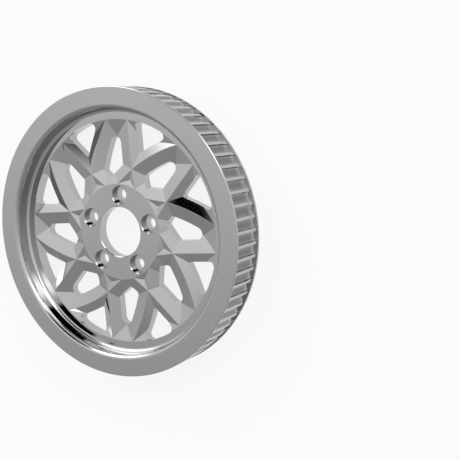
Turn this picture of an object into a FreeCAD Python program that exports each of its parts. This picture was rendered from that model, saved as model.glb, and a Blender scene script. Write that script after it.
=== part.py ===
import FreeCAD, Part
import math
import os

# One-piece belt pulley, turned and milled from a solid disc.
# It lies on the back edge of its rim, with the bore along +Z and the dished show face up.
# Millimetres and degrees. The origin is the centre of the back plane of the rim.

Vector = FreeCAD.Vector
UP = Vector(0, 0, 1)
ORIGIN = Vector(0, 0, 0)

# Toothed rim
tooth_count = 72
belt_pitch = 14.0
pitch_line_height = 1.397
rim_width = 47.5
tooth_turn = 1.3
groove_width = 10.9
groove_floor_width = 9.4
groove_floor_radius = 16.0
groove_depth = 2.6
front_lip = 1.6
back_lip = 4.0
taper_start = 22.0
taper_drop = 1.2
rim_chamfer = 1.2

# Turned dish on the show face and plain recess on the back
dish_depth = 17.3
ring_inner_radius = 123.8
ring_width = 7.3
dish_cove_radius = 4.0
dish_lip_radius = 5.0
recess_radius = 144.0
recess_corner = 5.0
recess_chamfer = 1.0

# Web, hub face, bore and bolt holes
web_thickness = 13.0
hub_radius = 53.3
bore_diameter = 55.88
bolt_circle = 82.55
bolt_count = 5
bolt_hole_diameter = 11.6
counterbore_diameter = 20.0
counterbore_depth = 4.9
edge_break = 0.5
bolt_turn = 13.2

# Lattice of eight crossings: each has a straight arm and a bowed arm
crossing_count = 8
crossing_radius = 72.2
straight_end_angle = 8.45
straight_root_angle = -10.2
bowed_end_angle = -23.4
bowed_root_angle = 16.3
bow_radius = 182.0
ridge_land = 0.5
leaf_roof_angle = 16.0
gap_roof_angle = 19.5

# Windows: how far each side stands in from the ridge beside it, and the corner rounds
leaf_rim_inset = 13.5
leaf_hub_inset = 12.1
leaf_tip_round = 7.0
leaf_shoulder_round = 4.0
leaf_side_round = 2.0
leaf_foot_round = 2.5
gap_straight_inset = 9.4
gap_bowed_inset = 9.8
gap_ring_overrun = 0.6
gap_rim_round = 5.0
gap_foot_round = 2.5

# How far a cutting tool runs past the face it opens
overrun = 2.0
roof_overrun = 0.05

# How close two points lie when they count as one
same_point = 0.01

# Derived sizes
land_radius = tooth_count * belt_pitch / (2 * math.pi) - pitch_line_height
floor_z = rim_width - dish_depth
web_back_z = floor_z - web_thickness
ring_outer_radius = ring_inner_radius + ring_width
dish_wall_radius = ring_outer_radius + dish_cove_radius
face_inner_radius = dish_wall_radius + dish_lip_radius
cell_angle = 360.0 / crossing_count
leaf_slope = math.tan(math.radians(leaf_roof_angle))
gap_slope = math.tan(math.radians(gap_roof_angle))


def polar(radius, angle, z=0.0):
    """Point at a radius and an angle about the bore."""
    turn = math.radians(angle)
    return Vector(radius * math.cos(turn), radius * math.sin(turn), z)


def turned_about_bore(shape, angle):
    """Copy of a shape, turned about the bore."""
    copy = shape.copy()
    copy.rotate(ORIGIN, UP, angle)
    return copy


def ring_of(shape, count, first_angle=0.0):
    """Copies of a shape, evenly spaced about the bore."""
    return [turned_about_bore(shape, first_angle + 360.0 * n / count) for n in range(count)]


def section_arc(centre_radius, centre_z, radius, start, end):
    """Arc in the radius-height plane, between two angles measured from the outward direction."""
    def at(angle):
        turn = math.radians(angle)
        return Vector(centre_radius + radius * math.cos(turn), 0, centre_z + radius * math.sin(turn))
    return Part.Arc(at(start), at((start + end) / 2), at(end)).toShape()


def turned_blank():
    """The disc as it leaves the lathe: dish, rim, back flange, recess and bore in one revolved section."""
    cove = section_arc(ring_outer_radius, floor_z + dish_cove_radius, dish_cove_radius, 270, 360)
    lip = section_arc(face_inner_radius, rim_width - dish_lip_radius, dish_lip_radius, 180, 90)
    bore_radius = bore_diameter / 2
    outline = [
        Vector(face_inner_radius, 0, rim_width),
        Vector(land_radius - rim_chamfer, 0, rim_width),
        Vector(land_radius, 0, rim_width - rim_chamfer),
        Vector(land_radius, 0, taper_start),
        Vector(land_radius - taper_drop, 0, back_lip),
        Vector(land_radius, 0, back_lip),
        Vector(land_radius, 0, rim_chamfer),
        Vector(land_radius - rim_chamfer, 0, 0),
        Vector(recess_radius + recess_chamfer, 0, 0),
        Vector(recess_radius, 0, recess_chamfer),
        Vector(recess_radius, 0, web_back_z - recess_corner),
        Vector(recess_radius - recess_corner, 0, web_back_z),
        Vector(bore_radius + edge_break, 0, web_back_z),
        Vector(bore_radius, 0, web_back_z + edge_break),
        Vector(bore_radius, 0, floor_z - edge_break),
        Vector(bore_radius + edge_break, 0, floor_z),
        Vector(ring_outer_radius, 0, floor_z),
    ]
    wall = Part.makeLine(Vector(dish_wall_radius, 0, floor_z + dish_cove_radius),
                         Vector(dish_wall_radius, 0, rim_width - dish_lip_radius))
    edges = [cove, wall, lip] + Part.makePolygon(outline).Edges
    section = Part.Face(Part.Wire(Part.__sortEdges__(edges)))
    return section.revolve(ORIGIN, UP, 360)


def tooth_groove():
    """One straight belt groove: a hollow floor between steep flanks, short of both edges of the rim."""
    half_floor = groove_floor_width / 2
    floor_centre = land_radius - groove_depth + groove_floor_radius
    floor_edge = floor_centre - math.sqrt(groove_floor_radius ** 2 - half_floor ** 2)
    flank_spread = (groove_width / 2 - half_floor) / (land_radius - floor_edge)
    mouth = land_radius + overrun
    half_mouth = groove_width / 2 + overrun * flank_spread
    left_foot = Vector(floor_edge, half_floor, 0)
    right_foot = Vector(floor_edge, -half_floor, 0)
    deepest = Vector(land_radius - groove_depth, 0, 0)
    left_mouth = Vector(mouth, half_mouth, 0)
    right_mouth = Vector(mouth, -half_mouth, 0)
    floor = Part.Arc(left_foot, deepest, right_foot).toShape()
    sides = Part.makePolygon([right_foot, right_mouth, left_mouth, left_foot])
    section = Part.Face(Part.Wire(Part.__sortEdges__([floor] + sides.Edges)))
    section.translate(UP * back_lip)
    return section.extrude(UP * (rim_width - front_lip - back_lip))


def cone_about(centre, radius, slope):
    """Cone through a circle at floor level, wider upwards, or downwards where the slope is negative."""
    depth = web_thickness + overrun
    low_radius = radius - depth / slope
    high_radius = radius + roof_overrun / slope
    return Part.makeCone(low_radius, high_radius, depth + roof_overrun,
                         Vector(centre.x, centre.y, floor_z - depth))


def roof_wedge(start, end, inside, slope):
    """All that lies above the facet that falls away from a ridge line towards an inside point."""
    along = (end - start).normalize()
    inward = UP.cross(along)
    if inward.dot(inside - start) < 0:
        inward = inward.negative()
    foot = start + inward * (ridge_land / 2) + UP * floor_z
    high = foot - inward * (roof_overrun / slope) + UP * roof_overrun
    deep = foot + inward * ring_outer_radius - UP * (ring_outer_radius * slope)
    back = deep + UP * (ring_outer_radius * slope + roof_overrun)
    reach = along * (2 * ring_outer_radius)
    outline = Part.makePolygon([high - reach, deep - reach, back - reach, high - reach])
    return Part.Face(outline).extrude(reach * 2)


def ridge_points(cell):
    """The ends, crossing and roots of one cell's two arms, by name."""
    turn = cell * cell_angle
    return {
        "crossing": polar(crossing_radius, turn),
        "straight_end": polar(ring_inner_radius, turn + straight_end_angle),
        "straight_root": polar(hub_radius, turn + straight_root_angle),
        "bowed_end": polar(ring_inner_radius, turn + bowed_end_angle),
        "bowed_root": polar(hub_radius, turn + bowed_root_angle),
    }


def bow_centre(points):
    """Centre of the arc that a bowed arm follows from its crossing to the rim."""
    start = points["crossing"]
    chord = points["bowed_end"] - start
    middle = start + chord * 0.5
    height = math.sqrt(bow_radius ** 2 - (chord.Length / 2) ** 2)
    across = chord.cross(UP).normalize()
    return middle + across * height


def leaf_pocket(near, far):
    """Faceted well round a leaf window, between a straight arm and the next cell's bowed arm."""
    inside = (near["crossing"] + far["crossing"]) * 0.5
    well = cone_about(ORIGIN, ring_inner_radius, leaf_slope)
    well = well.common(roof_wedge(near["crossing"], near["straight_end"], inside, leaf_slope))
    well = well.common(roof_wedge(near["bowed_root"], near["crossing"], inside, leaf_slope))
    well = well.common(roof_wedge(far["straight_root"], far["crossing"], inside, leaf_slope))
    well = well.common(cone_about(bow_centre(far), bow_radius - ridge_land / 2, leaf_slope))
    return well.cut(cone_about(ORIGIN, hub_radius, -leaf_slope))


def gap_pocket(near):
    """Faceted well round the three-sided window between the two arms of one crossing and the rim."""
    inside = (near["straight_end"] + near["bowed_end"]) * 0.5
    well = cone_about(ORIGIN, ring_inner_radius, gap_slope)
    well = well.common(roof_wedge(near["crossing"], near["straight_end"], inside, gap_slope))
    well = well.cut(cone_about(bow_centre(near), bow_radius + ridge_land / 2, -gap_slope))
    return nearest_solid(well, inside)


def pit_pocket(near):
    """Blind three-sided pit between the roots of one crossing and the hub face."""
    inside = (near["crossing"] + near["straight_root"] + near["bowed_root"]) * (1 / 3)
    well = roof_wedge(near["straight_root"], near["crossing"], inside, leaf_slope)
    well = well.common(roof_wedge(near["bowed_root"], near["crossing"], inside, leaf_slope))
    well = well.cut(cone_about(ORIGIN, hub_radius, -leaf_slope))
    return nearest_solid(well, inside)


def nearest_solid(shape, place):
    """The solid of a shape whose centre lies nearest a point."""
    return min(shape.Solids, key=lambda solid: (solid.CenterOfMass - place).Length)


def inset_line(start, end, inside, inset):
    """A ridge line moved sideways towards an inside point, as a point and a direction."""
    along = (end - start).normalize()
    inward = UP.cross(along)
    if inward.dot(inside - start) < 0:
        inward = inward.negative()
    return start + inward * inset, along


def meet_lines(first, second):
    """Point where two lines in the plan cross."""
    (point, along), (other, across) = first, second
    normal = UP.cross(across)
    return point + along * ((other - point).dot(normal) / along.dot(normal))


def meet_circle(line, centre, radius, near):
    """Point where a line in the plan meets a circle, on the side nearest a given point."""
    point, along = line
    middle = point + along * (centre - point).dot(along)
    half = math.sqrt(radius ** 2 - (centre - middle).Length ** 2)
    ends = [middle + along * half, middle - along * half]
    return min(ends, key=lambda end: (end - near).Length)


def meet_circles(centre, radius, other_centre, other_radius, near):
    """Point where two circles in the plan meet, on the side nearest a given point."""
    between = other_centre - centre
    gap = between.Length
    across = (radius ** 2 - other_radius ** 2 + gap ** 2) / (2 * gap)
    half = math.sqrt(radius ** 2 - across ** 2)
    along = between * (1 / gap)
    side = UP.cross(along)
    middle = centre + along * across
    ends = [middle + side * half, middle - side * half]
    return min(ends, key=lambda end: (end - near).Length)


def arc_between(start, end, centre, radius):
    """The shorter arc of a circle between two of its points."""
    middle = ((start + end) * 0.5 - centre).normalize() * radius + centre
    return Part.Arc(start, middle, end).toShape()


def through_prism(edges, rounds):
    """Vertical cut right through the web, with a round for each named corner of its outline."""
    outline = Part.Face(Part.Wire(Part.__sortEdges__(edges)))
    outline.translate(UP * (web_back_z - overrun))
    prism = outline.extrude(UP * (web_thickness + 2 * overrun))
    for corner, radius in rounds:
        upright = [edge for edge in prism.Edges if is_upright_at(edge, corner)]
        prism = prism.makeFillet(radius, upright)
    return prism


def is_upright_at(edge, corner):
    """True for a vertical straight edge that stands on a corner of the plan."""
    first, last = edge.Vertexes[0].Point, edge.Vertexes[-1].Point
    on_corner = math.hypot(first.x - corner.x, first.y - corner.y) < same_point
    return on_corner and math.hypot(last.x - first.x, last.y - first.y) < same_point


def leaf_window(near, far):
    """Leaf-shaped opening: two long sides that meet in a round tip, and two short sides at the hub."""
    inside = (near["crossing"] + far["crossing"]) * 0.5
    long_side = inset_line(near["crossing"], near["straight_end"], inside, leaf_rim_inset)
    near_foot = inset_line(near["bowed_root"], near["crossing"], inside, leaf_hub_inset)
    far_foot = inset_line(far["straight_root"], far["crossing"], inside, leaf_hub_inset)
    centre = bow_centre(far)
    radius = bow_radius - leaf_rim_inset
    side = meet_lines(long_side, near_foot)
    foot = meet_lines(near_foot, far_foot)
    shoulder = meet_circle(far_foot, centre, radius, far["crossing"])
    tip = meet_circle(long_side, centre, radius, far["bowed_end"])
    edges = [
        Part.makeLine(tip, side),
        Part.makeLine(side, foot),
        Part.makeLine(foot, shoulder),
        arc_between(shoulder, tip, centre, radius),
    ]
    rounds = [
        (tip, leaf_tip_round),
        (side, leaf_side_round),
        (foot, leaf_foot_round),
        (shoulder, leaf_shoulder_round),
    ]
    return through_prism(edges, rounds)


def gap_window(near):
    """Three-sided opening between the two arms of one crossing and the ring."""
    inside = (near["straight_end"] + near["bowed_end"]) * 0.5
    straight_side = inset_line(near["crossing"], near["straight_end"], inside, gap_straight_inset)
    centre = bow_centre(near)
    radius = bow_radius + gap_bowed_inset
    rim_radius = ring_inner_radius + gap_ring_overrun
    foot = meet_circle(straight_side, centre, radius, near["crossing"])
    straight_corner = meet_circle(straight_side, ORIGIN, rim_radius, near["straight_end"])
    bowed_corner = meet_circles(centre, radius, ORIGIN, rim_radius, near["bowed_end"])
    edges = [
        Part.makeLine(foot, straight_corner),
        arc_between(straight_corner, bowed_corner, ORIGIN, rim_radius),
        arc_between(bowed_corner, foot, centre, radius),
    ]
    rounds = [
        (foot, gap_foot_round),
        (straight_corner, gap_rim_round),
        (bowed_corner, gap_rim_round),
    ]
    return through_prism(edges, rounds)


def bolt_hole():
    """Through hole with a counterbore for the bolt head and a broken front edge."""
    place = polar(bolt_circle / 2, 0, web_back_z - overrun)
    hole = Part.makeCylinder(bolt_hole_diameter / 2, web_thickness + 2 * overrun, place)
    seat = polar(bolt_circle / 2, 0, floor_z - counterbore_depth)
    bore = Part.makeCylinder(counterbore_diameter / 2, counterbore_depth + overrun, seat)
    rim = polar(bolt_circle / 2, 0, floor_z - edge_break)
    head_radius = counterbore_diameter / 2
    chamfer = Part.makeCone(head_radius, head_radius + edge_break + overrun, edge_break + overrun, rim)
    return hole.fuse([bore, chamfer])


def pulley():
    """The whole pulley: the turned disc less its grooves, pockets, windows and holes."""
    near = ridge_points(0)
    far = ridge_points(1)
    cuts = ring_of(tooth_groove(), tooth_count, tooth_turn)
    for cutter in (leaf_pocket(near, far), gap_pocket(near), pit_pocket(near)):
        cuts += ring_of(cutter, crossing_count)
    for cutter in (leaf_window(near, far), gap_window(near)):
        cuts += ring_of(cutter, crossing_count)
    cuts += ring_of(bolt_hole(), bolt_count, bolt_turn)
    return turned_blank().cut(cuts)


def main():
    os.makedirs("parts", exist_ok=True)
    body = pulley()
    solid = body.Solids[0]
    solid.exportStep("parts/pulley.step")
    box = solid.BoundBox
    print("solids", len(body.Solids), "valid", solid.isValid(), "volume cm3", round(solid.Volume / 1000, 1))
    print("box", round(box.XLength, 2), round(box.YLength, 2), round(box.ZLength, 2))


main()
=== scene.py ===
# %% [markdown]
# # A chromed belt pulley, turned and milled in Blender
#
# The pulley is one piece of metal. A lathe turns its disc, a mill cuts the belt grooves, the faceted
# lattice and the bolt holes, and a plating bath makes it shine. This lesson follows the same order:
# Geometry Nodes turn the section into a disc and set the cutters in rings, Boolean modifiers do the
# milling, and a node material does the plating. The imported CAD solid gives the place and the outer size.

# %% Load the frame
import math

import bmesh
import bpy
from mathutils import Matrix, Vector


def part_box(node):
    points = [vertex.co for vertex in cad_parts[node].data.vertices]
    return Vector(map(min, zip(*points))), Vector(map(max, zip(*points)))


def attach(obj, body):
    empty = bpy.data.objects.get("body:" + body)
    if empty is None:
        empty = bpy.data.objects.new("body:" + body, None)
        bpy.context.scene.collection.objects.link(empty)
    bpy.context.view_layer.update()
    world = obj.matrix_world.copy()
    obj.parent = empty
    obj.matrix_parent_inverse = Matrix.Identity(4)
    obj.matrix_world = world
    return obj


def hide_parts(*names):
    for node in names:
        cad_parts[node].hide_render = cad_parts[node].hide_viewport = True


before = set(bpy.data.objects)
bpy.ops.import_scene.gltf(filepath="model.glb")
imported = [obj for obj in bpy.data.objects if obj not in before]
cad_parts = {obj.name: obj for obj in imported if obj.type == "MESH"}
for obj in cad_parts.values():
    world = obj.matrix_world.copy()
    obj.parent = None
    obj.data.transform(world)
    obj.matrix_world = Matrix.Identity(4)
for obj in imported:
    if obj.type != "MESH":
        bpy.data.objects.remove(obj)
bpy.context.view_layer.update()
low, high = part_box("pulley")
mm = 0.001
print("CAD box", [round(side / mm, 2) for side in high - low], "mm")

# %% [markdown]
# ## Helpers for node trees and plain meshes
#
# Every Geometry Nodes tree here has the same frame: named inputs on the left, a chain of nodes, then
# Realize Instances, Set Material and the output. Small helpers build that frame and add a node or a sum to
# any tree, of a shape or of a finish. Others turn an object with its modifiers into one plain mesh, and
# make its faces point outwards.

# %% Tree helpers
def new_tree(name, inputs):
    """An empty Geometry Nodes tree with a geometry in and out and the named inputs."""
    tree = bpy.data.node_groups.new(name, "GeometryNodeTree")
    tree.interface.new_socket("Geometry", in_out="INPUT", socket_type="NodeSocketGeometry")
    for label, kind in inputs.items():
        tree.interface.new_socket(label, in_out="INPUT", socket_type="NodeSocket" + kind)
    tree.interface.new_socket("Geometry", in_out="OUTPUT", socket_type="NodeSocketGeometry")
    return tree, tree.nodes.new("NodeGroupInput"), tree.nodes.new("NodeGroupOutput")


def add_node(tree, kind, links=None, **values):
    """A node of a tree, with some inputs linked to other sockets and some set to plain values."""
    node = tree.nodes.new(kind)
    for label, source in (links or {}).items():
        tree.links.new(source, node.inputs[label])
    for label, value in values.items():
        node.inputs[label.replace("_", " ")].default_value = value
    return node


def math_node(tree, operation, *values):
    """The output of a Math node whose inputs are sockets or plain numbers."""
    node = tree.nodes.new("ShaderNodeMath")
    node.operation = operation
    for socket, value in zip(node.inputs, values):
        if isinstance(value, bpy.types.NodeSocket):
            tree.links.new(value, socket)
        else:
            socket.default_value = value
    return node.outputs[0]


def finish_tree(tree, entry, leaving, geometry):
    """Realize what is instanced, give it the material and send it out."""
    real = add_node(tree, "GeometryNodeRealizeInstances", {"Geometry": geometry})
    coated = add_node(tree, "GeometryNodeSetMaterial",
                      {"Geometry": real.outputs["Geometry"], "Material": entry.outputs["Material"]})
    tree.links.new(coated.outputs["Geometry"], leaving.inputs["Geometry"])


# %% Mesh helpers
def show(name, mesh):
    """A new object in the scene for a mesh."""
    item = bpy.data.objects.new(name, mesh)
    bpy.context.scene.collection.objects.link(item)
    return item


def made_plain(item):
    """Swap an object's mesh for its evaluated one and drop its modifiers."""
    bpy.context.view_layer.update()
    evaluated = item.evaluated_get(bpy.context.evaluated_depsgraph_get())
    item.data = bpy.data.meshes.new_from_object(evaluated)
    item.modifiers.clear()
    return item


def run_tree(item, tree, **values):
    """Put a tree on an object, set its inputs by identifier, and keep the result as a plain mesh."""
    sockets = {socket.name: socket.identifier for socket in tree.interface.items_tree
               if socket.in_out == "INPUT"}
    modifier = item.modifiers.new(tree.name, "NODES")
    modifier.node_group = tree
    for label, value in values.items():
        modifier[sockets[label.replace("_", " ")]] = value
    return made_plain(item)


def faced_outwards(item, merge=1e-7):
    """Merge doubled points and turn every face outwards."""
    shell = bmesh.new()
    shell.from_mesh(item.data)
    bmesh.ops.remove_doubles(shell, verts=shell.verts, dist=merge)
    bmesh.ops.recalc_face_normals(shell, faces=shell.faces)
    shell.to_mesh(item.data)
    shell.free()
    return item


# %% [markdown]
# ## The chrome
#
# Chrome plate copies whatever is under it, so on the real pulley the polished metal shows the room, with
# faint waves from the polishing wheel and a little haze. The belt grooves carry painted shade: there the
# plate's colour is darkened towards a dull grey. A Principled shader with full metal does the mirror.
# Noise on Object coordinates moves its colour, its roughness and its bump by very small amounts. The
# painted
# shade needs no mask drawn by hand: the grooves' radius and height above the floor tell where it goes.

# %% Painted shade in the grooves
land_radius = (high.x - low.x) / 2
groove_depth = 2.6 * mm
# Heights where the painted shade in the grooves starts, becomes full and stops.
groove_shade_from = 3.5 * mm
groove_shade_full = 17.0 * mm
plain_front = 1.5 * mm
groove_shade_top = high.z - plain_front


def ramp(tree, value, start, end):
    """A Map Range node that goes from 0 at start to 1 at end."""
    return add_node(tree, "ShaderNodeMapRange", {"Value": value}, From_Min=start, From_Max=end)


def flat_length(tree, vector):
    """The length of a vector seen in plan, without its Z."""
    flat = add_node(tree, "ShaderNodeVectorMath", {0: vector})
    flat.operation = "MULTIPLY"
    flat.inputs[1].default_value = (1, 1, 0)
    length = add_node(tree, "ShaderNodeVectorMath", {0: flat.outputs["Vector"]})
    length.operation = "LENGTH"
    return length.outputs["Value"]


def painted_groove_shade_share(tree, place):
    """Share of painted shade: 0 outside the grooves, rising to 1 at their floors and away from their back
    ends.
    """
    radius = flat_length(tree, place)
    height = add_node(tree, "ShaderNodeSeparateXYZ", {0: place}).outputs["Z"]
    factors = [
        ramp(tree, radius, land_radius, land_radius - groove_depth).outputs["Result"],
        ramp(tree, height, groove_shade_from, groove_shade_full).outputs["Result"],
        math_node(tree, "GREATER_THAN", radius, land_radius - 2 * groove_depth),
        math_node(tree, "LESS_THAN", height, groove_shade_top),
    ]
    share = factors[0]
    for factor in factors[1:]:
        share = math_node(tree, "MULTIPLY", share, factor)
    return share


print("land radius", round(land_radius / mm, 2), "mm, grooves", groove_depth / mm, "mm deep")

# %% Colour and waves of the plate
chrome_tone = 0.47
dark_drift = (0.97, 0.97, 0.98)
light_drift = (1.03, 1.03, 1.03)
# Painted shade: the plate colour in the grooves is darkened towards this grey.
groove_shade_tone = 0.16
wave_strength = 0.02
wave_height = 0.2 * mm
drift_noise = {"Scale": 14, "Detail": 2}
wave_noise = {"Scale": 35, "Detail": 1}


def noise(tree, place, settings):
    """Soft noise, its scale counted in waves to the metre."""
    return add_node(tree, "ShaderNodeTexNoise", {"Vector": place}, **settings).outputs["Fac"]


def plate_colour(tree, place):
    """Bright plate with a faint drift in tone, with painted shade darkening the grooves."""
    tone = add_node(tree, "ShaderNodeValToRGB", {"Fac": noise(tree, place, drift_noise)})
    for stop, drift in zip(tone.color_ramp.elements, (dark_drift, light_drift)):
        stop.color = (*(chrome_tone * channel for channel in drift), 1)
    # Mix the painted shade into the plate colour in the grooves.
    shaded_in_grooves = tree.nodes.new("ShaderNodeMix")
    shaded_in_grooves.data_type = "RGBA"
    shaded_in_grooves.inputs["B"].default_value = (groove_shade_tone, groove_shade_tone, groove_shade_tone, 1)
    tree.links.new(painted_groove_shade_share(tree, place), shaded_in_grooves.inputs["Factor"])
    tree.links.new(tone.outputs["Color"], shaded_in_grooves.inputs["A"])
    return shaded_in_grooves.outputs["Result"]


def plate_waves(tree, place):
    """Shallow waves left by the polishing wheel."""
    waves = add_node(tree, "ShaderNodeBump", {"Height": noise(tree, place, wave_noise)},
                     Strength=wave_strength, Distance=wave_height)
    return waves.outputs["Normal"]


# %% Chrome material
chrome_haze = 0.04
haze_drift = 0.15
haze_noise = {"Scale": 60, "Detail": 4}


def plate_haze(tree, place):
    """A low roughness that drifts a little."""
    haze = add_node(tree, "ShaderNodeMapRange", {"Value": noise(tree, place, haze_noise)},
                    To_Min=chrome_haze * (1 - haze_drift), To_Max=chrome_haze * (1 + haze_drift))
    return haze.outputs["Result"]


def chrome_material():
    """Full metal with the plate's colour, haze and waves."""
    plate = bpy.data.materials.new("polished_chrome")
    plate.use_nodes = True
    tree = plate.node_tree
    shader = tree.nodes["Principled BSDF"]
    shader.inputs["Metallic"].default_value = 1.0
    place = tree.nodes.new("ShaderNodeTexCoord").outputs["Object"]
    tree.links.new(plate_colour(tree, place), shader.inputs["Base Color"])
    tree.links.new(plate_haze(tree, place), shader.inputs["Roughness"])
    tree.links.new(plate_waves(tree, place), shader.inputs["Normal"])
    return plate


chrome = chrome_material()
print("material", chrome.name, "with", len(chrome.node_tree.nodes), "nodes")

# %% [markdown]
# ## The turned disc
#
# Seen in section, the disc is a deep dish on the show face, a thin web, a recess at the back and a heavy
# rim. Towards the back the rim's lands sink by about a millimetre, down to a low flange. Everything in the
# section is round about the bore, so it is one outline swept round a circle: Curve to Mesh does in one node
# what a lathe does. The outline has only its corners, and its hollow and rounded corners are arcs worked
# out from a radius. The front edge of the rim is rounded, because a flat bevel would flash all at once.

# %% Section of the disc
rim_width = high.z - low.z
rim_edge = 1.2 * mm
back_lip = 4.0 * mm
taper_start = 22.0 * mm
taper_drop = 1.2 * mm
dish_depth = 17.3 * mm
floor_z = rim_width - dish_depth
web_thickness = 13.0 * mm
web_back_z = floor_z - web_thickness
ring_radius = 123.8 * mm
ring_width = 7.3 * mm
dish_foot_radius = ring_radius + ring_width
dish_cove = 4.0 * mm
dish_lip = 5.0 * mm
lip_radius = dish_foot_radius + dish_cove + dish_lip
recess_radius = 144.0 * mm
recess_corner = 5.0 * mm
recess_chamfer = 1.0 * mm
bore_radius = 27.94 * mm
edge_break = 0.5 * mm
dish_steps = 24
rim_edge_steps = 12


def arc_points(centre, radius, start, end, steps):
    """Points on an arc in the plane, both ends included; angles in degrees."""
    turns = [math.radians(start + (end - start) * step / steps) for step in range(steps + 1)]
    return [Vector(centre) + radius * Vector((math.cos(turn), math.sin(turn))) for turn in turns]


cove_centre = (dish_foot_radius, floor_z + dish_cove)
lip_centre = (lip_radius, rim_width - dish_lip)
rim_edge_centre = (land_radius - rim_edge, rim_width - rim_edge)
rounds = arc_points(cove_centre, dish_cove, 270, 360, dish_steps)
rounds += arc_points(lip_centre, dish_lip, 180, 90, dish_steps)
rounds += arc_points(rim_edge_centre, rim_edge, 90, 0, rim_edge_steps)
corners = [
    (land_radius, taper_start),
    (land_radius - taper_drop, back_lip),
    (land_radius, back_lip),
    (land_radius, rim_edge),
    (land_radius - rim_edge, 0),
    (recess_radius + recess_chamfer, 0),
    (recess_radius, recess_chamfer),
    (recess_radius, web_back_z - recess_corner),
    (recess_radius - recess_corner, web_back_z),
    (bore_radius + edge_break, web_back_z),
    (bore_radius, web_back_z + edge_break),
    (bore_radius, floor_z - edge_break),
    (bore_radius + edge_break, floor_z),
]
section = rounds + [Vector(corner) for corner in corners]
print("section", len(section), "points")


# %% Lathe tree
def lathe_tree():
    """Sweep a closed outline round a circle."""
    inputs = {"Circle": "Float", "Steps": "Int", "Material": "Material"}
    tree, entry, leaving = new_tree("turn_on_lathe", inputs)
    outline = add_node(tree, "GeometryNodeMeshToCurve", {"Mesh": entry.outputs["Geometry"]})
    circle = add_node(tree, "GeometryNodeCurvePrimitiveCircle",
                      {"Radius": entry.outputs["Circle"], "Resolution": entry.outputs["Steps"]})
    swept = add_node(tree, "GeometryNodeCurveToMesh",
                     {"Curve": circle.outputs["Curve"], "Profile Curve": outline.outputs["Curve"]})
    finish_tree(tree, entry, leaving, swept.outputs["Mesh"])
    return tree


turn_on_lathe = lathe_tree()


def outline_mesh(name, points):
    """A closed loop of edges."""
    mesh = bpy.data.meshes.new(name)
    loop = [(index, (index + 1) % len(points)) for index in range(len(points))]
    mesh.from_pydata(points, loop, [])
    return mesh


def turned(name, points, material, steps=720):
    """A body of revolution about the Z axis from (radius, height) points."""
    circle = max(point[0] for point in points)
    profile = [(point[0] - circle, -point[1], 0) for point in points]
    body = show(name, outline_mesh(name, profile))
    run_tree(body, turn_on_lathe, Circle=circle, Steps=steps, Material=material)
    return faced_outwards(body)


disc = turned("belt_pulley", section, chrome)
print("disc", len(disc.data.polygons), "faces")

# %% [markdown]
# ## The ring of cuts
#
# Grooves, holes and lattice pockets are each one cutter repeated about the bore. One tree places them all:
# it makes a point per copy, turns each copy by its index, and realizes the lot. The Boolean modifier then
# takes the whole ring out of the disc in one go.

# %% Ring tree and milling
def ring_tree():
    """Copies of a cutter, evenly turned about the Z axis."""
    inputs = {"Count": "Int", "First Turn": "Float", "Material": "Material"}
    tree, entry, leaving = new_tree("ring_of_cuts", inputs)
    points = add_node(tree, "GeometryNodePoints", {"Count": entry.outputs["Count"]})
    index = tree.nodes.new("GeometryNodeInputIndex").outputs["Index"]
    step = math_node(tree, "DIVIDE", 2 * math.pi, entry.outputs["Count"])
    turn = math_node(tree, "MULTIPLY_ADD", index, step, entry.outputs["First Turn"])
    spin = add_node(tree, "ShaderNodeCombineXYZ", {"Z": turn})
    rotation = add_node(tree, "FunctionNodeEulerToRotation", {"Euler": spin.outputs["Vector"]})
    copies = add_node(tree, "GeometryNodeInstanceOnPoints",
                      {"Points": points.outputs[0], "Instance": entry.outputs["Geometry"],
                       "Rotation": rotation.outputs["Rotation"]})
    finish_tree(tree, entry, leaving, copies.outputs["Instances"])
    return tree


ring_of_cuts = ring_tree()


def combine(body, tool, operation):
    """Boolean a tool with a body, keep the plain result and throw the tool away."""
    boolean = body.modifiers.new(tool.name, "BOOLEAN")
    boolean.operation = operation
    boolean.solver = "MANIFOLD"
    boolean.object = tool
    made_plain(body)
    bpy.data.objects.remove(tool)
    return body


def mill_ring(body, cutter, count, first_turn=0.0):
    """Take a whole ring of cutters out of a body."""
    before = len(body.data.polygons)
    run_tree(cutter, ring_of_cuts, Count=count, First_Turn=first_turn, Material=chrome)
    label = cutter.name
    combine(body, cutter, "DIFFERENCE")
    print(label, "x", count, ":", len(body.data.polygons) - before, "more faces")


# %% [markdown]
# ## The belt grooves
#
# A toothed belt sits in shallow hollow grooves with narrow lands between them. Here they stop short of both
# edges of the rim: at a thin lip in front and at the low flange behind. One groove is drawn in plan and
# raised into an upright block: a floor on a wide arc, two steep flanks and a small round where each flank
# meets its land, so that every land gets a soft bright edge.

# %% Belt groove in plan
tooth_count = 72
tooth_turn = 1.3
groove_width = 10.9 * mm
groove_floor_width = 9.4 * mm
groove_floor_radius = 16.0 * mm
land_edge_round = 0.5 * mm
overrun = 2.0 * mm
floor_steps = 6
land_edge_steps = 8


def groove_half():
    """One half of the groove in plan, from the middle of its floor out past its land."""
    half_floor = groove_floor_width / 2
    floor_centre = land_radius - groove_depth + groove_floor_radius
    sweep = math.degrees(math.asin(half_floor / groove_floor_radius))
    floor = arc_points((floor_centre, 0), groove_floor_radius, 180, 180 - sweep, floor_steps)
    mouth_turn = math.asin(groove_width / 2 / land_radius)
    outward = Vector((math.cos(mouth_turn), math.sin(mouth_turn)))
    flank = outward * land_radius - floor[-1]
    lean = math.atan2(flank.y, flank.x)
    setback = land_edge_round * math.tan((math.pi / 2 + mouth_turn - lean) / 2)
    on_land = outward * land_radius + outward.orthogonal() * setback
    land_edge = arc_points(on_land - outward * land_edge_round, land_edge_round,
                           math.degrees(lean) - 90, math.degrees(mouth_turn), land_edge_steps)
    return floor + land_edge + [land_edge[-1] + outward * overrun]


# %% Mill the grooves
front_lip = 1.6 * mm


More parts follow.
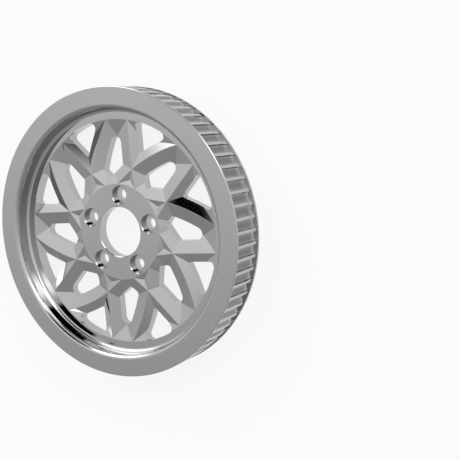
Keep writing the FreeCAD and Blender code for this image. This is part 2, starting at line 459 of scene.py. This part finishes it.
def prism(name, points, bottom, top):
    """An upright block on a closed outline of the plan."""
    block = bmesh.new()
    base = block.faces.new([block.verts.new((x, y, bottom)) for x, y in points])
    rise = bmesh.ops.extrude_face_region(block, geom=[base])
    moved = [item for item in rise["geom"] if isinstance(item, bmesh.types.BMVert)]
    bmesh.ops.translate(block, verts=moved, vec=(0, 0, top - bottom))
    bmesh.ops.recalc_face_normals(block, faces=block.faces)
    mesh = bpy.data.meshes.new(name)
    block.to_mesh(mesh)
    block.free()
    return show(name, mesh)


def groove_cutter():
    """The block that mills one groove, on the X axis."""
    half = groove_half()
    other = [Vector((point.x, -point.y)) for point in reversed(half[1:])]
    return prism("belt_groove", other + half, back_lip, rim_width - front_lip)


mill_ring(disc, groove_cutter(), tooth_count, math.radians(tooth_turn))

# %% [markdown]
# ## Ridges of the lattice
#
# The lattice is a net of eight crossings. At each, a straight arm and a bowed arm cross and run on to the
# ring, and short roots tie the crossing to the hub. From the ridges the facets fall away at a fixed angle,
# a little steeper in the gaps than in the leaves, like the hips and valleys of a roof. So one small object
# per ridge is enough: it knows how deep a point lies inside it, and it can give the solid that lies above
# its facet. Straight ridges give wedges and round ones give cones.

# %% Crossings and arms
hub_radius = 53.3 * mm
crossing_count = 8
crossing_radius = 72.2 * mm
bow_radius = 182.0 * mm
arm_angles = {"straight_end": 8.45, "straight_root": -10.2, "bowed_end": -23.4, "bowed_root": 16.3}


def polar(radius, degrees):
    """Point of the plan at a radius and an angle."""
    turn = math.radians(degrees)
    return Vector((radius * math.cos(turn), radius * math.sin(turn)))


def cell_points(cell):
    """The ends and roots of the two arms that meet in one crossing, by name."""
    turn = cell * 360 / crossing_count
    points = {"crossing": polar(crossing_radius, turn)}
    for name, angle in arm_angles.items():
        points[name] = polar(ring_radius if name.endswith("end") else hub_radius, turn + angle)
    return points


def bow_centre(points):
    """Centre of the arc that a bowed arm follows from its crossing to the ring."""
    chord = points["bowed_end"] - points["crossing"]
    across = Vector((chord.y, -chord.x)).normalized()
    rise = math.sqrt(bow_radius ** 2 - (chord.length / 2) ** 2)
    return points["crossing"] + chord / 2 + across * rise


near, far = cell_points(0), cell_points(1)
print("crossings", crossing_count, "bow centre", [round(c / mm, 1) for c in bow_centre(near)])

# %% Straight ridge
leaf_slope = math.tan(math.radians(16.0))
gap_slope = math.tan(math.radians(19.5))
roof_overrun = 0.05 * mm


def wedge(name, triangle, shift):
    """A three-sided bar, from a triangle moved back by a shift to the same one moved on by it."""
    bar = bmesh.new()
    ends = []
    for side in (-1, 1):
        ends.append([bar.verts.new((*(place + side * shift), z)) for place, z in triangle])
    bar.faces.new(ends[0])
    bar.faces.new(ends[1])
    for index in range(3):
        after = (index + 1) % 3
        bar.faces.new([ends[0][index], ends[0][after], ends[1][after], ends[1][index]])
    bmesh.ops.recalc_face_normals(bar, faces=bar.faces)
    mesh = bpy.data.meshes.new(name)
    bar.to_mesh(mesh)
    bar.free()
    return show(name, mesh)


class StraightRidge:
    """A straight ridge line, with the well on the side of an inside point."""

    def __init__(self, start, end, inside, inset, slope=leaf_slope):
        self.slope = slope
        self.along = (end - start).normalized()
        self.normal = Vector((-self.along.y, self.along.x))
        if self.normal.dot(inside - start) < 0:
            self.normal = -self.normal
        self.point = start + self.normal * inset

    def depth(self, place):
        """How far a point lies inside the ridge."""
        return (place - self.point).dot(self.normal)

    def inward(self, place):
        """The direction from the ridge into the well, the same at every place."""
        return self.normal

    def cut_well(self, well):
        """Keep what lies above the facet that falls from this ridge."""
        reach = 2 * dish_foot_radius
        fall = reach * self.slope
        back = self.point - self.normal * (roof_overrun / self.slope)
        deep = self.point + self.normal * reach
        triangle = [(back, floor_z + roof_overrun), (deep, floor_z - fall), (deep, floor_z + roof_overrun)]
        return combine(well, wedge("roof_wedge", triangle, self.along * reach), "INTERSECT")


# %% Round ridge
def cone(name, centre, low_radius, high_radius, bottom, top, steps=360):
    """An upright cone stump."""
    stump = bmesh.new()
    place = Matrix.Translation((centre.x, centre.y, (bottom + top) / 2))
    bmesh.ops.create_cone(stump, cap_ends=True, segments=steps, radius1=low_radius, radius2=high_radius,
                          depth=top - bottom, matrix=place)
    mesh = bpy.data.meshes.new(name)
    stump.to_mesh(mesh)
    stump.free()
    return show(name, mesh)


class RoundRidge:
    """A ridge on a circle, with the well inside it (side +1) or outside it (side -1)."""

    def __init__(self, centre, radius, side, inset, slope=leaf_slope):
        self.slope = slope
        self.centre = centre
        self.side = side
        self.radius = radius - side * inset

    def depth(self, place):
        """How far a point lies inside the ridge."""
        return self.side * (self.radius - (place - self.centre).length)

    def inward(self, place):
        """The direction from the ridge into the well, at a place."""
        return (self.centre - place).normalized() * self.side

    def cut_well(self, well):
        """Keep what lies above the facet that falls from this ridge."""
        fall = web_thickness + overrun
        low_radius = self.radius - self.side * fall / self.slope
        high_radius = self.radius + self.side * roof_overrun / self.slope
        stump = cone("roof_cone", self.centre, low_radius, high_radius,
                     floor_z - fall, floor_z + roof_overrun)
        return combine(well, stump, "INTERSECT" if self.side > 0 else "DIFFERENCE")


# %% [markdown]
# ## Wells between the ridges
#
# A well is everything that lies above all of its facets. It starts as a plain block over one cell, and each
# ridge in turn trims it to its own facet. What is left has hips and valleys just where the facets meet, and
# nothing had to be measured for them. There are three wells to a cell: the long leaf between two arms, the
# three-sided gap against the ring, and the blind pit at the hub.

# %% The ridges round each well
MIDDLE = Vector((0, 0))


def leaf_ridges(arm=0.0, root=0.0):
    """Straight arm, roots and the next cell's bowed arm, each moved into the well by an inset."""
    inside = (near["crossing"] + far["crossing"]) / 2
    return [
        StraightRidge(near["crossing"], near["straight_end"], inside, arm),
        StraightRidge(near["bowed_root"], near["crossing"], inside, root),
        StraightRidge(far["straight_root"], far["crossing"], inside, root),
        RoundRidge(bow_centre(far), bow_radius, 1, arm),
    ]


def gap_ridges(straight=0.0, bowed=0.0):
    """The two arms of one crossing."""
    inside = (near["straight_end"] + near["bowed_end"]) / 2
    return [
        StraightRidge(near["crossing"], near["straight_end"], inside, straight, gap_slope),
        RoundRidge(bow_centre(near), bow_radius, -1, bowed, gap_slope),
    ]


def pit_ridges(root=0.0):
    """The two roots of one crossing."""
    inside = (near["crossing"] + near["straight_root"] + near["bowed_root"]) / 3
    return [
        StraightRidge(near["straight_root"], near["crossing"], inside, root),
        StraightRidge(near["bowed_root"], near["crossing"], inside, root),
    ]


ring_ridge = RoundRidge(MIDDLE, ring_radius, 1, 0.0)
hub_ridge = RoundRidge(MIDDLE, hub_radius, -1, 0.0)

# %% Mill the wells
ridge_land = 0.5 * mm
half_land = ridge_land / 2


def well_cutter(name, ridges):
    """A block over one cell, trimmed by every ridge round the well."""
    reach = ring_radius + overrun
    block = [(0, -reach), (reach, -reach), (reach, reach), (0, reach)]
    well = prism(name, block, web_back_z - overrun / 2, floor_z + overrun)
    for ridge in ridges:
        ridge.cut_well(well)
    return well


wells = {
    "leaf_well": leaf_ridges(half_land, half_land) + [ring_ridge, hub_ridge],
    "gap_well": gap_ridges(half_land, half_land) + [ring_ridge],
    "hub_pit": pit_ridges(half_land) + [hub_ridge],
}
for name, ridges in wells.items():
    mill_ring(disc, well_cutter(name, ridges), crossing_count)

# %% [markdown]
# ## Windows through the web
#
# Each leaf and each gap opens into a window with upright walls. Its sides run beside the ridges at a fixed
# distance, so the same ridge objects serve again, moved inwards. A rounded corner between two sides has its
# centre at the point that stands one round's radius inside both of them. A few correcting steps find that
# point for lines and circles alike, which saves a page of special cases.

# %% Rounded corners
def corner_centre(first, second, radius, guess, tries=12):
    """The point that lies a given depth inside two sides."""
    place = guess.copy()
    for _ in range(tries):
        a, b = first.inward(place), second.inward(place)
        miss_a, miss_b = radius - first.depth(place), radius - second.depth(place)
        spread = a.x * b.y - a.y * b.x
        place += Vector((miss_a * b.y - miss_b * a.y, miss_b * a.x - miss_a * b.x)) / spread
    return place


def foot_on(side, place):
    """The nearest point of a side."""
    return place - side.inward(place) * side.depth(place)


def corner_arc(first, second, radius, guess, steps=12):
    """The round between two sides, from the first to the second."""
    centre = corner_centre(first, second, radius, guess)
    start, end = foot_on(first, centre) - centre, foot_on(second, centre) - centre
    sweep = start.angle_signed(end)
    return [centre + Matrix.Rotation(-sweep * step / steps, 2) @ start for step in range(steps + 1)]


# %% Rounded outlines
def side_points(side, start, end, steps=16):
    """Points between two points of a side: none on a straight one, an even run on a round one."""
    if isinstance(side, StraightRidge):
        return []
    return [foot_on(side, start.lerp(end, step / steps)) for step in range(1, steps)]


def rounded_outline(sides, radii, guesses):
    """Closed outline whose corners follow each side in turn."""
    following = sides[1:] + sides[:1]
    arcs = [corner_arc(*corner) for corner in zip(sides, following, radii, guesses)]
    points = []
    for index, arc in enumerate(arcs):
        points += side_points(sides[index], arcs[index - 1][-1], arc[0]) + arc
    return points


def window_cutter(name, sides, radii, guesses):
    """Upright cutter that opens a window right through the web."""
    outline = rounded_outline(sides, radii, guesses)
    return prism(name, outline, web_back_z - overrun, floor_z + overrun)


# %% Mill the leaf windows
leaf_insets = {"arm": 13.5 * mm, "root": 12.1 * mm}
leaf_radii = [2.0 * mm, 2.5 * mm, 4.0 * mm, 7.0 * mm]
leaf_middle = (near["crossing"] + far["crossing"]) / 2
leaf_guesses = [near["crossing"], leaf_middle, far["crossing"], far["bowed_end"]]
leaf_cutter = window_cutter("leaf_window", leaf_ridges(**leaf_insets), leaf_radii, leaf_guesses)
mill_ring(disc, leaf_cutter, crossing_count)

# %% Mill the gap windows
gap_insets = {"straight": 9.4 * mm, "bowed": 9.8 * mm}
gap_radii = [5.0 * mm, 5.0 * mm, 2.5 * mm]
gap_ring_overrun = 0.6 * mm
gap_sides = gap_ridges(**gap_insets)
gap_sides.insert(1, RoundRidge(MIDDLE, ring_radius + gap_ring_overrun, 1, 0.0))
gap_guesses = [near["straight_end"], near["bowed_end"], near["crossing"]]
mill_ring(disc, window_cutter("gap_window", gap_sides, gap_radii, gap_guesses), crossing_count)

# %% [markdown]
# ## Bolt holes
#
# Five bolts hold the pulley to its hub, and their round heads sit in counterbores. Like the disc, one hole
# is a body of revolution, so the lathe tree turns the cutter too. It is then moved out to the bolt circle.

# %% Bolt holes
bolt_count = 5
bolt_turn = 13.2
bolt_circle_radius = 82.55 / 2 * mm
hole_radius = 5.8 * mm
head_radius = 10.0 * mm
head_depth = 4.9 * mm
hole_steps = 72


def bolt_hole_cutter():
    """A stepped pin: the hole, the counterbore and its broken edge."""
    seat = floor_z - head_depth
    pin_section = [
        (0, web_back_z - overrun),
        (hole_radius, web_back_z - overrun),
        (hole_radius, seat),
        (head_radius, seat),
        (head_radius, floor_z - edge_break),
        (head_radius + edge_break + overrun, floor_z + overrun),
        (0, floor_z + overrun),
    ]
    pin = turned("bolt_hole", pin_section, chrome, hole_steps)
    pin.data.transform(Matrix.Translation((bolt_circle_radius, 0, 0)))
    return pin


mill_ring(disc, bolt_hole_cutter(), bolt_count, math.radians(bolt_turn))

# %% [markdown]
# ## Crisp edges and true highlights
#
# On chrome the eye reads the shading, not the mesh. The coves and cones must shade as smooth curves, while
# a facet must stay flat right up to its ridge, although it falls away by only 16 degrees. So edges sharper
# than a few degrees are marked sharp. Weighted Normal averages the faces at all the others and stores the
# result in the mesh.

# %% Shade the disc
sharp_above = math.radians(9)
weld_distance = 0.002 * mm
faced_outwards(disc, weld_distance)
disc.data.shade_smooth()
disc.data.set_sharp_from_angle(angle=sharp_above)
weighted = disc.modifiers.new("weighted_normals", "WEIGHTED_NORMAL")
weighted.keep_sharp = True
made_plain(disc)
disc.data.materials.clear()
disc.data.materials.append(chrome)


def open_edges(item):
    """How many edges don't have exactly two faces."""
    shell = bmesh.new()
    shell.from_mesh(item.data)
    count = sum(1 for edge in shell.edges if len(edge.link_faces) != 2)
    shell.free()
    return count


triangles = sum(len(face.vertices) - 2 for face in disc.data.polygons)
print("pulley", triangles, "triangles,", open_edges(disc), "open edges")

# %% Tie the pulley to the frame
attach(disc, "root")
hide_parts("pulley")
print(disc.name, "rides on the root and stands for the CAD pulley")

# %% [markdown]
# ## The floor
#
# The pulley lies on a pale matt floor, as it would come to rest. A studio floor reads as plain white, but
# lighting it until it does would burn out the metal. So most of what the camera and the mirror see of the
# floor is white by itself, and the rest is its own shade, which keeps the soft shadow.

# %% Floor
floor_size = 40.0
floor_colour = (0.8, 0.8, 0.8, 1)
floor_roughness = 0.9
white_share = 0.86


def floor_material():
    """Pale matt floor that reads as white, with a share of its own shade."""
    pale = bpy.data.materials.new("pale_floor")
    pale.use_nodes = True
    tree = pale.node_tree
    matt = tree.nodes["Principled BSDF"]
    matt.inputs["Base Color"].default_value = floor_colour
    matt.inputs["Roughness"].default_value = floor_roughness
    ray = tree.nodes.new("ShaderNodeLightPath").outputs
    seen = math_node(tree, "MAXIMUM", ray["Is Camera Ray"], ray["Is Glossy Ray"])
    seen = math_node(tree, "MAXIMUM", seen, ray["Is Transmission Ray"])
    share = math_node(tree, "MULTIPLY", seen, white_share)
    white = tree.nodes.new("ShaderNodeEmission")
    mix = add_node(tree, "ShaderNodeMixShader",
                   {"Fac": share, 1: matt.outputs["BSDF"], 2: white.outputs["Emission"]})
    tree.links.new(mix.outputs["Shader"], tree.nodes["Material Output"].inputs["Surface"])
    return pale


signs = ((-1, -1), (1, -1), (1, 1), (-1, 1))
floor_corners = [(x * floor_size / 2, y * floor_size / 2, 0) for x, y in signs]
floor_mesh = bpy.data.meshes.new("floor")
floor_mesh.from_pydata(floor_corners, [], [(0, 1, 2, 3)])
floor_mesh.materials.append(floor_material())
floor = show("floor", floor_mesh)
print("floor", floor_size, "m wide")

# %% [markdown]
# ## The light
#
# Polished metal shows the room more than it shows the lamps, so here the room itself is the light. It is a
# dome that grows brighter towards one side, with two soft white panels, which give the long highlights in
# the dish, and two dark drapes, which give it its black bands. Lamps and cards would do too, but their hard
# edges cut the mirror into steps. Each panel and drape is an oval on the dome with a soft edge.

# %% Soft ovals of the dome
def direction(azimuth, elevation):
    """Unit vector from the pulley towards a compass angle and a height angle."""
    flat = math.cos(math.radians(elevation))
    turn = math.radians(azimuth)
    return Vector((flat * math.cos(turn), flat * math.sin(turn), math.sin(math.radians(elevation))))


def oval(tree, towards, azimuth, elevation, width, height, roll, softness):
    """1 inside an oval of the dome, fading to 0 over its soft edge; sizes are the angles it fills."""
    turned_to = direction(azimuth, elevation).to_track_quat("Z", "Y").to_matrix()
    turned_to = turned_to @ Matrix.Rotation(math.radians(roll), 3, "Z")
    half_sizes = [math.sin(math.radians(angle / 2)) for angle in (width, height)]
    local = tree.nodes.new("ShaderNodeMapping")
    local.vector_type = "TEXTURE"
    local.inputs["Rotation"].default_value = turned_to.to_euler()
    local.inputs["Scale"].default_value = (*half_sizes, 1)
    tree.links.new(towards, local.inputs["Vector"])
    fade = ramp(tree, flat_length(tree, local.outputs["Vector"]), 1 + softness, 1 - softness)
    fade.interpolation_type = "SMOOTHSTEP"
    ahead = add_node(tree, "ShaderNodeSeparateXYZ", {0: local.outputs["Vector"]}).outputs["Z"]
    near_side = math_node(tree, "GREATER_THAN", ahead, 0.0)
    return math_node(tree, "MULTIPLY", fade.outputs["Result"], near_side)


# %% Light dome
dome_middle = 0.705
dome_tilt = Vector((0.81, 0.23, 0.17))
dome_lowest = 0.42
side_panel = dict(azimuth=57, elevation=20.5, width=35, height=45, roll=0, softness=0.3)
side_panel_light = 2.3
front_panel = dict(azimuth=-23.4, elevation=29.4, width=22, height=40.6, roll=15, softness=0.39)
front_panel_light = 3.6
wide_drape = dict(azimuth=17, elevation=36.5, width=42.5, height=40.5, roll=38, softness=0.09)
thin_drape = dict(azimuth=53.2, elevation=56.5, width=22, height=4.1, roll=-55.5, softness=0.6)
panels = [(side_panel, side_panel_light), (front_panel, front_panel_light)]
drapes = [wide_drape, thin_drape]


def light_dome():
    """A room that grows brighter towards one side, with soft white panels and dark drapes."""
    world = bpy.data.worlds.new("studio_dome")
    world.use_nodes = True
    tree = world.node_tree
    towards = tree.nodes.new("ShaderNodeTexCoord").outputs["Generated"]
    slope = add_node(tree, "ShaderNodeVectorMath", {0: towards})
    slope.operation = "DOT_PRODUCT"
    slope.inputs[1].default_value = dome_tilt
    level = math_node(tree, "ADD", slope.outputs["Value"], dome_middle)
    level = math_node(tree, "MAXIMUM", level, dome_lowest)
    for panel, strength in panels:
        light = math_node(tree, "MULTIPLY", oval(tree, towards, **panel), strength)
        level = math_node(tree, "ADD", level, light)
    for drape in drapes:
        undraped = math_node(tree, "SUBTRACT", 1.0, oval(tree, towards, **drape))
        level = math_node(tree, "MULTIPLY", level, undraped)
    background = tree.nodes["Background"]
    background.inputs["Color"].default_value = (1, 1, 1, 1)
    tree.links.new(level, background.inputs["Strength"])
    return world


bpy.context.scene.world = light_dome()
print("dome with", len(panels), "panels and", len(drapes), "drapes")

# %% [markdown]
# ## Camera
#
# The camera's place comes from fitting the rim, the hub, the bolt holes and the ridges to the photograph.
# The photograph shows the pulley on edge, so the camera looks down on the lying pulley and is rolled.

# %% Camera
camera_place = Vector((277.38, -503.52, 763.71)) * mm
camera_aim = Vector((45.44, -129.51, 23.75)) * mm
camera_roll = -105.06
camera_lens = 65.47
camera_sensor = 36.0

camera = bpy.data.cameras.new("photo_camera")
camera.lens = camera_lens
camera.sensor_width = camera_sensor
viewpoint = bpy.data.objects.new("photo_camera", camera)
aimed = (camera_aim - camera_place).to_track_quat("-Z", "Y").to_matrix().to_4x4()
roll = Matrix.Rotation(math.radians(camera_roll), 4, "Z")
viewpoint.matrix_world = Matrix.Translation(camera_place) @ aimed @ roll
bpy.context.scene.collection.objects.link(viewpoint)
bpy.context.scene.camera = viewpoint
bpy.context.scene.view_settings.view_transform = "Standard"
print("camera", round((camera_aim - camera_place).length / mm), "mm from its aim")
